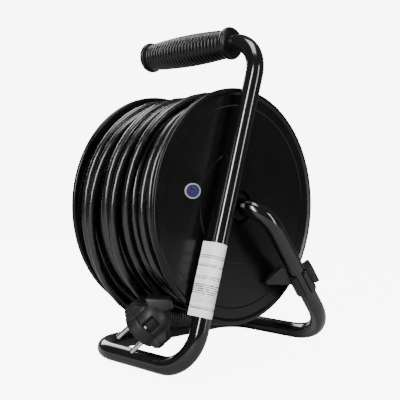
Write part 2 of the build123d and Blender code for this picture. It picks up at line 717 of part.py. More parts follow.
with BuildPart() as neutral_contact_ring:
    with BuildSketch(across(RING_FRONT_Y)):
        Circle(NEUTRAL_R + RING_W / 2)
        Circle(NEUTRAL_R - RING_W / 2, mode=Mode.SUBTRACT)
    extrude(amount=-RING_T)
    with BuildSketch(across(RING_FRONT_Y)):
        with PolarLocations(NEUTRAL_R, SOCKETS):
            Circle(SLEEVE_BORE_R + SLEEVE_WALL)
    extrude(amount=SLEEVE_L)
    with BuildSketch(across(RING_FRONT_Y + RING_T)):
        with PolarLocations(NEUTRAL_R, SOCKETS):
            Circle(SLEEVE_BORE_R)
    extrude(amount=SLEEVE_L + RING_T, mode=Mode.SUBTRACT)
neutral_contact_ring.part.label = "neutral_contact_ring"
export_step(neutral_contact_ring.part, "parts/neutral_contact_ring.step")

EARTH_RING_Y = INSERT_BACK_Y + EARTH_T
with BuildPart() as earth_ring:
    with BuildSketch(across(EARTH_RING_Y)):
        Circle(SOCKET_PITCH_R + EARTH_RING_W / 2)
        Circle(SOCKET_PITCH_R - EARTH_RING_W / 2, mode=Mode.SUBTRACT)
    extrude(amount=-RING_T)
earth_ring.part.label = "earth_ring"
export_step(earth_ring.part, "parts/earth_ring.step")

# --------------------------------------------------------------------------
# Thermal cutout with its reset button
# --------------------------------------------------------------------------
with BuildPart() as thermal_cutout:
    with BuildSketch(across(CUTOUT_BACK_Y)):
        Circle(CUTOUT_R)
    extrude(amount=CUTOUT_L)
    with BuildSketch(across(PANEL_BACK_Y)):
        Circle(CHAMBER_R)
    extrude(amount=-CHAMBER_L, mode=Mode.SUBTRACT)
thermal_cutout.part.label = "thermal_cutout"
export_step(thermal_cutout.part, "parts/thermal_cutout.step")

with BuildPart() as cutout_tabs:
    with BuildSketch(across(CUTOUT_BACK_Y)):
        with Locations((-TAB_X, 0), (TAB_X, 0)):
            Rectangle(TAB_T, TAB_W)
    extrude(amount=-TAB_L)
cutout_tabs.part.label = "cutout_tabs"
export_step(cutout_tabs.part, "parts/cutout_tabs.step")

BUTTON_FRONT_Y = PANEL_FACE_Y - BUTTON_PROUD
BUTTON_COLLAR_Y = PANEL_BACK_Y + BUTTON_GAP
with BuildPart() as reset_button:
    with BuildSketch(across(BUTTON_FRONT_Y + BUTTON_L)):
        Circle(BUTTON_R)
    extrude(amount=BUTTON_L)
    with BuildSketch(across(BUTTON_COLLAR_Y)):
        Circle(BUTTON_COLLAR_R)
    extrude(amount=-BUTTON_COLLAR_T)
    fillet(reset_button.edges().group_by(Axis.Y)[0], radius=BUTTON_EDGE_R)
reset_button.part.label = "reset_button"
export_step(reset_button.part, "parts/reset_button.step")

# The spring is drawn at its pressed length, clear of the button's collar.
CHAMBER_END_Y = PANEL_BACK_Y + CHAMBER_L
spring_rear_y = CHAMBER_END_Y - SPRING_SEAT - SPRING_WIRE_R
spring_front_y = BUTTON_COLLAR_Y + BUTTON_COLLAR_T + BUTTON_TRAVEL + SPRING_SEAT + SPRING_WIRE_R
with BuildPart() as reset_spring:
    with BuildLine() as spring_line:
        Helix(
            pitch=SPRING_PITCH,
            height=spring_rear_y - spring_front_y,
            radius=SPRING_R,
            center=(0, spring_rear_y, AXLE_Z),
            direction=(0, -1, 0),
        )
    with BuildSketch(Plane(origin=spring_line.line @ 0, z_dir=spring_line.line % 0)):
        Circle(SPRING_WIRE_R)
    sweep(is_frenet=True)
reset_spring.part.label = "reset_spring"
export_step(reset_spring.part, "parts/reset_spring.step")

# --------------------------------------------------------------------------
# Winding knob
# --------------------------------------------------------------------------
KNOB_BASE_Y = -WEB_OUT_Y - KNOB_BOSS_T - KNOB_PLAY
KNOB_END_Y = KNOB_BASE_Y - KNOB_L
KNOB_SHOULDER_Y = KNOB_END_Y + KNOB_SHOULDER
KNOB_HEAD_Y = KNOB_SHOULDER_Y - KNOB_PLAY
KNOB_AXIS = Axis((KNOB_X, 0, AXLE_Z + KNOB_Z), (0, 1, 0))
knob_half = Plane(origin=(KNOB_X, 0, AXLE_Z + KNOB_Z), x_dir=(1, 0, 0), z_dir=(0, 0, 1))
with BuildPart() as winding_knob:
    with BuildSketch(knob_half):
        with BuildLine():
            Polyline(
                (KNOB_MAX_R - 4, KNOB_END_Y),
                (KNOB_CAP_R, KNOB_END_Y),
                (KNOB_CAP_R, KNOB_END_Y + KNOB_CAP_T),
                (KNOB_HEAD_R + 0.8, KNOB_END_Y + KNOB_CAP_T),
                (KNOB_HEAD_R + 0.8, KNOB_SHOULDER_Y),
                (KNOB_PIN_R + KNOB_FIT, KNOB_SHOULDER_Y),
                (KNOB_PIN_R + KNOB_FIT, KNOB_BASE_Y),
                (KNOB_BASE_R, KNOB_BASE_Y),
            )
            ThreePointArc(
                (KNOB_BASE_R, KNOB_BASE_Y),
                (KNOB_BASE_R + 0.4, KNOB_BASE_Y - KNOB_L * 0.35),
                (KNOB_MAX_R, KNOB_END_Y + KNOB_L * 0.22),
            )
            ThreePointArc(
                (KNOB_MAX_R, KNOB_END_Y + KNOB_L * 0.22),
                (KNOB_MAX_R - 0.8, KNOB_END_Y + KNOB_L * 0.08),
                (KNOB_MAX_R - 4, KNOB_END_Y),
            )
        make_face()
    revolve(axis=KNOB_AXIS)
winding_knob.part.label = "winding_knob"
export_step(winding_knob.part, "parts/winding_knob.step")

with BuildPart() as knob_cap:
    with BuildSketch(across(KNOB_END_Y + KNOB_CAP_T)):
        with Locations((KNOB_X, KNOB_Z)):
            Circle(KNOB_CAP_R)
    extrude(amount=KNOB_CAP_T)
knob_cap.part.label = "knob_cap"
export_step(knob_cap.part, "parts/knob_cap.step")

with BuildPart() as knob_pin:
    with BuildSketch(across(-WEB_IN_Y)):
        with Locations((KNOB_X, KNOB_Z)):
            Circle(KNOB_PIN_R)
    extrude(amount=-WEB_IN_Y - KNOB_HEAD_Y)
    with BuildSketch(across(KNOB_HEAD_Y)):
        with Locations((KNOB_X, KNOB_Z)):
            Circle(KNOB_HEAD_R)
    extrude(amount=KNOB_HEAD_T)
knob_pin.part.label = "knob_pin"
export_step(knob_pin.part, "parts/knob_pin.step")

# --------------------------------------------------------------------------
# Cord: wound on the core, clamped inside it, with its conductors
# --------------------------------------------------------------------------
with BuildPart() as cable_winding:
    with BuildSketch(Plane.XY.offset(AXLE_Z)):
        with Locations(((CORE_R + WINDING_D / 2) / 2, 0)):
            Rectangle(WINDING_D / 2 - CORE_R, 2 * WEB_IN_Y)
        fillet(vertices().group_by(Axis.X)[-1], radius=WINDING_EDGE_R)
    revolve(axis=AXLE)
cable_winding.part.label = "cable_winding"
export_step(cable_winding.part, "parts/cable_winding.step")

with BuildPart() as cable_grommet:
    with BuildSketch(outward_plane(LIP_BACK_R, CORD_ENTRY_ANGLE, CORD_ENTRY_Y)):
        Circle(GROMMET_LIP_R)
    extrude(amount=GROMMET_LIP_T)
    with BuildSketch(outward_plane(LIP_BACK_R, CORD_ENTRY_ANGLE, CORD_ENTRY_Y)):
        Circle(GROMMET_R)
    extrude(amount=CORE_R - CORE_SUNK - LIP_BACK_R)
    with BuildSketch(outward_plane(LIP_BACK_R, CORD_ENTRY_ANGLE, CORD_ENTRY_Y)):
        Circle(CORD_R)
    extrude(amount=CORE_R - LIP_BACK_R, mode=Mode.SUBTRACT)
cable_grommet.part.label = "cable_grommet"
export_step(cable_grommet.part, "parts/cable_grommet.step")

with BuildPart() as cable_inner_end:
    with BuildSketch(outward_plane(INNER_END_R, CORD_ENTRY_ANGLE, CORD_ENTRY_Y)):
        Circle(CORD_R)
    extrude(amount=CORE_R - CORE_SUNK - INNER_END_R)
cable_inner_end.part.label = "cable_inner_end"
export_step(cable_inner_end.part, "parts/cable_inner_end.step")

CLAMP_FACE_Y = CORD_ENTRY_Y - CORD_R - CLAMP_T
with BuildPart() as cable_clamp:
    with BuildSketch(beside_axle(CLAMP_R, CORD_ENTRY_ANGLE, SHELF_Y)):
        Rectangle(CLAMP_L, CLAMP_W)
    extrude(amount=SHELF_Y - CLAMP_FACE_Y)
    with BuildSketch(outward_plane(CLAMP_R - CLAMP_L, CORD_ENTRY_ANGLE, CORD_ENTRY_Y)):
        Circle(CORD_R)
    extrude(amount=2 * CLAMP_L, mode=Mode.SUBTRACT)
    with BuildSketch(beside_axle(CLAMP_R, CORD_ENTRY_ANGLE, SHELF_Y)):
        Rectangle(CLAMP_L, CORD_D)
    extrude(amount=CORD_R, mode=Mode.SUBTRACT)
    with BuildSketch(beside_axle(CLAMP_R, CORD_ENTRY_ANGLE, SHELF_Y)):
        with Locations((0, -CLAMP_SCREW_SPREAD), (0, CLAMP_SCREW_SPREAD)):
            Circle(CLAMP_SCREW_R)
    extrude(amount=SHELF_Y - CLAMP_FACE_Y, mode=Mode.SUBTRACT)
cable_clamp.part.label = "cable_clamp"
export_step(cable_clamp.part, "parts/cable_clamp.step")

with BuildPart() as clamp_screws:
    with BuildSketch(beside_axle(CLAMP_R, CORD_ENTRY_ANGLE, SHELF_Y + SHELF_T)):
        with Locations((0, -CLAMP_SCREW_SPREAD), (0, CLAMP_SCREW_SPREAD)):
            Circle(CLAMP_SCREW_R)
    extrude(amount=SHELF_Y + SHELF_T - CLAMP_FACE_Y)
    with BuildSketch(beside_axle(CLAMP_R, CORD_ENTRY_ANGLE, CLAMP_FACE_Y)):
        with Locations((0, -CLAMP_SCREW_SPREAD), (0, CLAMP_SCREW_SPREAD)):
            Circle(CLAMP_HEAD_R)
    extrude(amount=CLAMP_HEAD_T)
clamp_screws.part.label = "clamp_screws"
export_step(clamp_screws.part, "parts/clamp_screws.step")

RING_BACK_Y = RING_FRONT_Y + RING_T
TAB_END_Y = CUTOUT_BACK_Y + TAB_L
live_y = CORD_ENTRY_Y - LIVE_WIRE_DROP
pair_y = CORD_ENTRY_Y + PAIR_WIRE_RISE
parting_r = INNER_END_R - WIRE_FREE_RUN
conductor_live = wire_along([
    polar_point(INNER_END_R, CORD_ENTRY_ANGLE, live_y),
    polar_point(INNER_END_R - LIVE_WIRE_RUN, CORD_ENTRY_ANGLE, live_y),
    Vector(TAB_X, live_y, AXLE_Z - LIVE_WIRE_DIP),
    Vector(TAB_X, live_y, AXLE_Z),
    Vector(TAB_X, TAB_END_Y, AXLE_Z),
])
conductor_live.part.label = "conductor_live"
export_step(conductor_live.part, "parts/conductor_live.step")

conductor_neutral = wire_along([
    polar_point(INNER_END_R, CORD_ENTRY_ANGLE - WIRE_FAN, pair_y),
    polar_point(parting_r, CORD_ENTRY_ANGLE - WIRE_FAN_FREE, pair_y),
    polar_point(NEUTRAL_R, CORD_ENTRY_ANGLE - NEUTRAL_WIRE_TURN, pair_y),
    polar_point(NEUTRAL_R, CORD_ENTRY_ANGLE - NEUTRAL_WIRE_TURN, RING_BACK_Y),
])
conductor_neutral.part.label = "conductor_neutral"
export_step(conductor_neutral.part, "parts/conductor_neutral.step")

conductor_earth = wire_along([
    polar_point(INNER_END_R, CORD_ENTRY_ANGLE + WIRE_FAN, pair_y),
    polar_point(parting_r, CORD_ENTRY_ANGLE + WIRE_FAN_FREE, pair_y),
    polar_point(SOCKET_PITCH_R, CORD_ENTRY_ANGLE + EARTH_WIRE_TURN, pair_y),
    polar_point(SOCKET_PITCH_R, CORD_ENTRY_ANGLE + EARTH_WIRE_TURN, EARTH_RING_Y + RING_T),
])
conductor_earth.part.label = "conductor_earth"
export_step(conductor_earth.part, "parts/conductor_earth.step")

cutout_jumper = wire_along([
    Vector(-TAB_X, TAB_END_Y, AXLE_Z),
    Vector(-TAB_X, live_y, AXLE_Z),
    polar_point(LIVE_R, JUMPER_ANGLE, live_y),
    polar_point(LIVE_R, JUMPER_ANGLE, RING_BACK_Y),
])
cutout_jumper.part.label = "cutout_jumper"
export_step(cutout_jumper.part, "parts/cutout_jumper.step")

# --------------------------------------------------------------------------
# Drum brake: a split sleeve that clips round the leg and turns on it
# --------------------------------------------------------------------------
leg_up = (leg_top - leg_foot).normalized()
brake_centre = leg_foot + (leg_top - leg_foot) * BRAKE_ALONG
nose_out = Vector(*NOSE_DIRECTION)
nose_out = (nose_out - leg_up * nose_out.dot(leg_up)).normalized()
brake_square = Plane(origin=brake_centre, x_dir=nose_out, z_dir=leg_up)
brake_flat = Plane(origin=brake_centre, x_dir=leg_up, z_dir=leg_up.cross(nose_out))
BRAKE_BORE_R = TUBE_R + BRAKE_FIT
BRAKE_R = BRAKE_BORE_R + BRAKE_WALL
with BuildPart() as drum_brake:
    with BuildSketch(brake_square.offset(BRAKE_LOW)):
        Circle(BRAKE_R)
    extrude(amount=BRAKE_HIGH - BRAKE_LOW)
    with BuildSketch(brake_flat):
        with BuildLine():
            Polyline(
                (BRAKE_NOSE_ROOT[0], TUBE_R),
                (BRAKE_NOSE_ROOT[1], TUBE_R),
                (BRAKE_NOSE_HEEL[0], TUBE_R + BRAKE_NOSE_HEEL[1]),
                (BRAKE_NOSE_TIP[1], BRAKE_NOSE_REACH),
                (BRAKE_NOSE_TIP[0], BRAKE_NOSE_REACH),
                close=True,
            )
        make_face()
    extrude(amount=BRAKE_NOSE_T / 2, both=True)
    with BuildSketch(brake_square.offset(BRAKE_TAB_LOW)):
        with Locations((-(TUBE_R + BRAKE_TAB_R) / 2, 0)):
            Rectangle(BRAKE_TAB_R - TUBE_R + 2 * WELD_IN, BRAKE_WEB_T)
        with Locations((-BRAKE_TAB_R - BRAKE_TAB_T / 2, 0)):
            Rectangle(BRAKE_TAB_T, BRAKE_TAB_W)
    extrude(amount=BRAKE_TAB_HIGH - BRAKE_TAB_LOW)
    with BuildSketch(brake_square):
        Circle(BRAKE_BORE_R)
    extrude(amount=BRAKE_NOSE_HEEL[0] - BRAKE_LOW, both=True, mode=Mode.SUBTRACT)
    # The sleeve is open on the side away from the nose and the tab.
    gap_reach = 1.5 * BRAKE_R
    gap_half = BRAKE_R * math.sin(math.radians(BRAKE_GAP_ANGLE / 2))
    with BuildSketch(brake_square.offset(BRAKE_LOW)):
        with BuildLine():
            Polyline((0, 0), (-gap_half, gap_reach), (gap_half, gap_reach), close=True)
        make_face()
    extrude(amount=BRAKE_HIGH - BRAKE_LOW, mode=Mode.SUBTRACT)
drum_brake.part.label = "drum_brake"
export_step(drum_brake.part, "parts/drum_brake.step")

# --------------------------------------------------------------------------
# Plug, and the cord's free stretch from the winding to it
# --------------------------------------------------------------------------
pin_out = Vector(*PLUG_PIN_DIRECTION).normalized()
pair_along = Vector(*PLUG_PAIR_DIRECTION)
pair_along = (pair_along - pin_out * pair_along.dot(pin_out)).normalized()
cord_out = Vector(*PLUG_CORD_DIRECTION).normalized()
face_centre = Vector(*PLUG_FACE)
plug_plane = Plane(origin=face_centre, x_dir=pair_along, z_dir=pin_out)
elbow_centre = face_centre - pin_out * PLUG_GRIP_L
with BuildPart() as plug_body:
    with BuildSketch(plug_plane):
        Circle(PLUG_D / 2)
    extrude(amount=-PLUG_FRONT_L)
    with BuildSketch(plug_plane.offset(-PLUG_FRONT_L)):
        Circle(PLUG_D / 2)
    with BuildSketch(plug_plane.offset(-PLUG_GRIP_L)):
        Circle(PLUG_GRIP_R)
    loft()
    with BuildSketch(Plane(origin=elbow_centre, z_dir=cord_out)):
        Circle(PLUG_GRIP_R)
    with BuildSketch(Plane(origin=elbow_centre + cord_out * PLUG_ELBOW_L, z_dir=cord_out)):
        Circle(PLUG_ELBOW_R)
    loft()
    # The elbow is rounded by a ball of the grip's own radius.
    with Locations(elbow_centre):
        Sphere(PLUG_GRIP_R)
    with BuildSketch(plug_plane.offset(-PLUG_GROOVE_L)):
        with Locations((0, PLUG_D / 2), (0, -PLUG_D / 2)):
            Rectangle(PLUG_GROOVE_W, 2 * PLUG_GROOVE_DEPTH)
    extrude(amount=PLUG_GROOVE_L, mode=Mode.SUBTRACT)
    with BuildSketch(plug_plane.offset(-PLUG_PIN_ROOT)):
        with Locations((-PIN_PITCH / 2, 0), (PIN_PITCH / 2, 0)):
            Circle(PLUG_ROOT_D / 2)
    extrude(amount=PLUG_PIN_ROOT, mode=Mode.SUBTRACT)
    with BuildSketch(plug_plane.offset(-PLUG_GROOVE_L)):
        with Locations((0, -PLUG_EARTH_HOLE_OFFSET)):
            Circle(PLUG_EARTH_HOLE_R)
    extrude(amount=PLUG_GROOVE_L, mode=Mode.SUBTRACT)
plug_body.part.label = "plug_body"
export_step(plug_body.part, "parts/plug_body.step")

with BuildPart() as plug_pins:
    with BuildSketch(plug_plane.offset(-PLUG_PIN_ROOT)):
        with Locations((-PIN_PITCH / 2, 0), (PIN_PITCH / 2, 0)):
            Circle(PLUG_ROOT_D / 2)
    extrude(amount=PLUG_PIN_ROOT)
    with BuildSketch(plug_plane):
        with Locations((-PIN_PITCH / 2, 0), (PIN_PITCH / 2, 0)):
            Circle(PIN_D / 2)
    extrude(amount=PIN_L)
plug_pins.part.label = "plug_pins"
export_step(plug_pins.part, "parts/plug_pins.step")

GROOVE_FLOOR = PLUG_D / 2 - PLUG_GROOVE_DEPTH
with BuildPart() as plug_earth_contacts:
    with BuildSketch(plug_plane.offset(-PLUG_GROOVE_L)):
        strip_offset = GROOVE_FLOOR + PLUG_EARTH_T / 2
        with Locations((0, -strip_offset), (0, strip_offset)):
            Rectangle(PLUG_EARTH_W, PLUG_EARTH_T)
    extrude(amount=PLUG_GROOVE_L)
plug_earth_contacts.part.label = "plug_earth_contacts"
export_step(plug_earth_contacts.part, "parts/plug_earth_contacts.step")

relief_root = elbow_centre + cord_out * PLUG_ELBOW_L
relief_tip = relief_root + cord_out * RELIEF_L
with BuildPart() as plug_strain_relief:
    with BuildSketch(Plane(origin=relief_root, z_dir=cord_out)):
        Circle(RELIEF_ROOT_R)
    with BuildSketch(Plane(origin=relief_tip, z_dir=cord_out)):
        Circle(RELIEF_TIP_R)
    loft()
plug_strain_relief.part.label = "plug_strain_relief"
export_step(plug_strain_relief.part, "parts/plug_strain_relief.step")

# The stretch lies just under the winding, where its last turn comes away.
tail_points = [
    relief_tip,
    relief_tip + cord_out * TAIL_FIRST_RUN,
    Vector(-1.0, 43.0, 42.2),
    Vector(-23.0, 37.5, 42.4),
    Vector(-43.0, 31.5, 50.2),
]
tail_runs = [(b - a) for a, b in zip(tail_points, tail_points[1:])]
tail_radii = []
for first, second in zip(tail_runs, tail_runs[1:]):
    half_turn = math.radians(first.get_angle(second)) / 2
    tail_radii.append(ARC_SHARE * min(first.length, second.length) / math.tan(half_turn))
print("tail arc radii, mm:", [round(radius, 1) for radius in tail_radii])
with BuildPart() as cable_tail:
    with BuildLine() as tail_route:
        FilletPolyline(*tail_points, radius=tail_radii)
    with BuildSketch(Plane(origin=tail_route.line @ 0, z_dir=tail_route.line % 0)):
        Circle(CORD_R)
    sweep()
tail_length = sum(edge.length for edge in tail_route.edges())
tail_volume = math.pi * CORD_R**2 * tail_length
print("tail length, mm:", round(tail_length, 1))
print("tail volume over section x length:", round(cable_tail.part.volume / tail_volume, 4))
cable_tail.part.label = "cable_tail"
export_step(cable_tail.part, "parts/cable_tail.step")
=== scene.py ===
# %% [markdown]
# # A cord reel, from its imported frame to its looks
#
# The reel is a moulded drum on a bent steel tube. The drum holds some thirty-seven metres of
# flexible cord and four earthed sockets, and the free end of the cord carries a rubber plug.
# The hard parts arrive already modelled, each at its own place. This lesson gives every one of
# them a finish, and makes new pieces where the real one is soft, ribbed or loosely laid: the
# cord on the drum, its free end, the hand grip, the paper label and the plug.

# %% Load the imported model
import json
import math
import random

import bmesh
import bpy
from mathutils import Matrix, Vector


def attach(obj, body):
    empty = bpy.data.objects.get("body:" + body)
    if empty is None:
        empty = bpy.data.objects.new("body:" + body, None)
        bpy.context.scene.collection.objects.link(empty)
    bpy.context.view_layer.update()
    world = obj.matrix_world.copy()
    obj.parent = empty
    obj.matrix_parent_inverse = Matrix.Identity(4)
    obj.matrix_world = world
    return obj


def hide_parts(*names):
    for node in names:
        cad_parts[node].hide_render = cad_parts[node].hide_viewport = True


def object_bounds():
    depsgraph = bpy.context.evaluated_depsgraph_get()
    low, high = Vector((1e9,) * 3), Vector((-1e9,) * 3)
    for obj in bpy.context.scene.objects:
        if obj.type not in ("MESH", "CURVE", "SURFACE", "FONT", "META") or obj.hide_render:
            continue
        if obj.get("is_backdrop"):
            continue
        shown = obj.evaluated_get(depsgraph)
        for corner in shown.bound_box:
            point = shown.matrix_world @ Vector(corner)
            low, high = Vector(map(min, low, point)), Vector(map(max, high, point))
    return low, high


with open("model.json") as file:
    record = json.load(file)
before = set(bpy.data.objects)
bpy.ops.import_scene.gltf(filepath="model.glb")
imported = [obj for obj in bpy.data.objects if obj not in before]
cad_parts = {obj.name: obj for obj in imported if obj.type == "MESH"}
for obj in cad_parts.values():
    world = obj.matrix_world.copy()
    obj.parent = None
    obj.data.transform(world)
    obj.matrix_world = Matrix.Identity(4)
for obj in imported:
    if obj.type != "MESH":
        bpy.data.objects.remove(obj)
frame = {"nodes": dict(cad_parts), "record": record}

cad_low, cad_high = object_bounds()
MM = 0.001
print("the reel fills, in metres:", [round(a, 3) for a in cad_high - cad_low])

# %% [markdown]
# ## The room
#
# A black, glossy object is drawn by what it reflects. A pale floor and a white surround keep
# its outline clear, and a few large soft lamps lay long bright lines on the tube and the cord.
# Both are dimmer in reflections than they are to the eye, so that black stays black.

# %% The floor
FLOOR_HALF = 6
FLOOR_GREY = 0.5
FLOOR_GLOW = 7.8

floor_mesh = bpy.data.meshes.new("floor")
bm = bmesh.new()
bmesh.ops.create_grid(bm, x_segments=1, y_segments=1, size=FLOOR_HALF)
bm.to_mesh(floor_mesh)
bm.free()
floor = bpy.data.objects.new("floor", floor_mesh)
bpy.context.scene.collection.objects.link(floor)
floor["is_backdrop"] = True

floor_paint = bpy.data.materials.new("floor_paint")
floor_paint.use_nodes = True
floor_nodes = floor_paint.node_tree.nodes
floor_shader = floor_nodes["Principled BSDF"]
floor_shader.inputs["Base Color"].default_value = (FLOOR_GREY, FLOOR_GREY, FLOOR_GREY, 1)
floor_shader.inputs["Roughness"].default_value = 0.7
floor_shader.inputs["Emission Color"].default_value = (1, 1, 1, 1)
floor_ray = floor_nodes.new("ShaderNodeLightPath")
glow = floor_nodes.new("ShaderNodeMath")
glow.operation = "MULTIPLY"
glow.inputs[1].default_value = FLOOR_GLOW
floor_paint.node_tree.links.new(floor_ray.outputs["Is Camera Ray"], glow.inputs[0])
floor_paint.node_tree.links.new(glow.outputs["Value"], floor_shader.inputs["Emission Strength"])
floor_mesh.materials.append(floor_paint)
print("the floor is", 2 * FLOOR_HALF, "m wide")

# %% The white surround
EYE_BRIGHTNESS = 8
REFLECTED_BRIGHTNESS = 0.11

surround = bpy.data.worlds.new("surround")
bpy.context.scene.world = surround
surround.use_nodes = True
nodes = surround.node_tree.nodes
links = surround.node_tree.links
seen = nodes["Background"]
seen.inputs["Color"].default_value = (1, 1, 1, 1)
seen.inputs["Strength"].default_value = EYE_BRIGHTNESS
reflected = nodes.new("ShaderNodeBackground")
reflected.inputs["Color"].default_value = (0.97, 0.98, 1, 1)
reflected.inputs["Strength"].default_value = REFLECTED_BRIGHTNESS
ray = nodes.new("ShaderNodeLightPath")
pick = nodes.new("ShaderNodeMixShader")
links.new(ray.outputs["Is Camera Ray"], pick.inputs["Fac"])
links.new(reflected.outputs["Background"], pick.inputs[1])
links.new(seen.outputs["Background"], pick.inputs[2])
links.new(pick.outputs["Shader"], nodes["World Output"].inputs["Surface"])
dimmer = round(EYE_BRIGHTNESS / REFLECTED_BRIGHTNESS)
print("reflections see the surround", dimmer, "times dimmer than the eye does")

# %% The lamps
reel_middle = Vector((0, 0, 0.16))


def softbox(name, place, wide, high, watts):
    """A rectangular soft lamp that looks at the middle of the reel."""
    lamp = bpy.data.lights.new(name, "AREA")
    lamp.shape = "RECTANGLE"
    lamp.size = wide
    lamp.size_y = high
    lamp.energy = watts
    holder = bpy.data.objects.new(name, lamp)
    holder.location = place
    holder.rotation_euler = (reel_middle - holder.location).to_track_quat("-Z", "Y").to_euler()
    bpy.context.scene.collection.objects.link(holder)
    print(name, "is", wide, "by", high, "m and gives", watts, "W")


softbox("key_lamp", Vector((1.26, 0.5, 0.82)), wide=0.22, high=1.1, watts=28)
softbox("side_lamp", Vector((-0.25, 1.27, 0.5)), wide=0.16, high=1.1, watts=10)
softbox("top_lamp", Vector((0.1, 0.1, 1.5)), wide=0.7, high=0.7, watts=14)
softbox("front_lamp", Vector((-0.35, -1.3, 0.8)), wide=0.8, high=0.8, watts=14)

# %% [markdown]
# ## The camera
#
# The view is from behind and to the right of the reel, a little above the axle, so that the
# back flange, the cord and the whole stand are seen at once. A camera is aimed here by the
# three directions it needs: where it looks, what is right, and what is up.

# %% The camera
LENS = 63.8
eye = Vector((538.9, 539.8, 183.8)) * MM
look = Vector((-0.70848, -0.70534, -0.02366))
right = Vector((-0.70560, 0.70860, 0.00422))
up = right.cross(look)

camera_data = bpy.data.cameras.new("camera")
camera_data.lens = LENS
camera_data.clip_start = 0.01
camera = bpy.data.objects.new("camera", camera_data)
camera.matrix_world = Matrix.Translation(eye) @ Matrix((right, up, -look)).transposed().to_4x4()
bpy.context.scene.collection.objects.link(camera)
bpy.context.scene.camera = camera
print("the camera stands", round((eye - reel_middle).length, 3), "m from the drum")

# %% [markdown]
# ## How a finish is made
#
# Moulded plastic, rubber and enamel are never one flat value. Each has a shine that wanders a
# little, a colour that is paler where it is rubbed, and a fine grain. Three noises at three
# scales give these. They read Object coordinates, so a finish stays in place on its piece when
# the piece moves. One helper makes the common part, and each finish then says its own numbers.

# %% A helper for finishes
DARK_BELOW = 0.35
PALE_ABOVE = 0.75
SHINIEST_BELOW = 0.3
DULLEST_ABOVE = 0.7
SHINE_PER_PATCH = 2.3

finishes = {}


def finish(name, dark, pale, shine, grain, patch=35, **shader_values):
    """A mottled finish: two colours, (low, high) roughness, and grain as (scale, depth in mm)."""
    material = bpy.data.materials.new(name)
    material.use_nodes = True
    nodes = material.node_tree.nodes
    links = material.node_tree.links
    shader = nodes["Principled BSDF"]
    for socket, value in shader_values.items():
        shader.inputs[socket.replace("_", " ")].default_value = value

    place = nodes.new("ShaderNodeTexCoord")
    mottle = nodes.new("ShaderNodeTexNoise")
    mottle.inputs["Scale"].default_value = patch
    mottle.inputs["Detail"].default_value = 4
    links.new(place.outputs["Object"], mottle.inputs["Vector"])

    colour = nodes.new("ShaderNodeValToRGB")
    colour.color_ramp.elements[0].position = DARK_BELOW
    colour.color_ramp.elements[0].color = (*dark, 1)
    colour.color_ramp.elements[1].position = PALE_ABOVE
    colour.color_ramp.elements[1].color = (*pale, 1)
    links.new(mottle.outputs["Fac"], colour.inputs["Fac"])
    links.new(colour.outputs["Color"], shader.inputs["Base Color"])

    wander = nodes.new("ShaderNodeTexNoise")
    wander.inputs["Scale"].default_value = patch * SHINE_PER_PATCH
    wander.inputs["Detail"].default_value = 3
    links.new(place.outputs["Object"], wander.inputs["Vector"])
    gloss = nodes.new("ShaderNodeMapRange")
    gloss.inputs["From Min"].default_value = SHINIEST_BELOW
    gloss.inputs["From Max"].default_value = DULLEST_ABOVE
    gloss.inputs["To Min"].default_value = shine[0]
    gloss.inputs["To Max"].default_value = shine[1]
    links.new(wander.outputs["Fac"], gloss.inputs["Value"])
    links.new(gloss.outputs["Result"], shader.inputs["Roughness"])

    speckle = nodes.new("ShaderNodeTexNoise")
    speckle.inputs["Scale"].default_value = grain[0]
    speckle.inputs["Detail"].default_value = 2
    links.new(place.outputs["Object"], speckle.inputs["Vector"])
    bump = nodes.new("ShaderNodeBump")
    bump.inputs["Strength"].default_value = 1
    bump.inputs["Distance"].default_value = grain[1] * MM
    links.new(speckle.outputs["Fac"], bump.inputs["Height"])
    links.new(bump.outputs["Normal"], shader.inputs["Normal"])
    finishes[name] = material
    return material


# %% [markdown]
# ## The reel's finishes
#
# The tube has a hard gloss enamel, the drum a smoother moulded plastic, and the sockets a
# finely textured one that hides scratches. The cord's jacket is soft and shiny, and the grip
# and the plug are rubber. The small metal parts are nickel, zinc and brass.

# %% Enamel, plastic and rubber
finish("steel_black", (0.003, 0.003, 0.0032), (0.006, 0.006, 0.0065), (0.10, 0.17), (300, 0.004),
       Coat_Weight=0.35, Coat_Roughness=0.05)
finish("drum_black", (0.002, 0.002, 0.0022), (0.005, 0.005, 0.0055), (0.2, 0.28), (900, 0.008),
       patch=14, Specular_IOR_Level=0.3)
finish("panel_black", (0.012, 0.012, 0.013), (0.022, 0.022, 0.024), (0.42, 0.56), (1500, 0.05))
finish("grip_rubber", (0.0015, 0.0015, 0.0015), (0.004, 0.004, 0.004), (0.26, 0.38), (1100, 0.02),
       Specular_IOR_Level=0.4)
finish("cord_pvc", (0.0025, 0.0025, 0.0027), (0.006, 0.006, 0.0065), (0.2, 0.32), (500, 0.015),
       patch=60, Specular_IOR_Level=0.7)
finish("plug_rubber", (0.004, 0.004, 0.0042), (0.009, 0.009, 0.0095), (0.42, 0.56), (900, 0.04),
       patch=80, Specular_IOR_Level=0.35)
finish("brake_plastic", (0.003, 0.003, 0.0032), (0.008, 0.008, 0.0085), (0.3, 0.42), (1000, 0.03))
finish("button_red", (0.32, 0.015, 0.012), (0.42, 0.03, 0.02), (0.3, 0.42), (900, 0.03))
finish("bush_plastic", (0.62, 0.58, 0.48), (0.74, 0.70, 0.6), (0.35, 0.5), (900, 0.03))

# %% Metals
finish("pin_nickel", (0.55, 0.53, 0.5), (0.72, 0.7, 0.66), (0.14, 0.3), (700, 0.01), Metallic=1)
finish("brass", (0.55, 0.36, 0.12), (0.72, 0.5, 0.2), (0.2, 0.36), (700, 0.01), Metallic=1)
finish("zinc", (0.4, 0.4, 0.41), (0.6, 0.6, 0.6), (0.22, 0.42), (500, 0.015), Metallic=1)

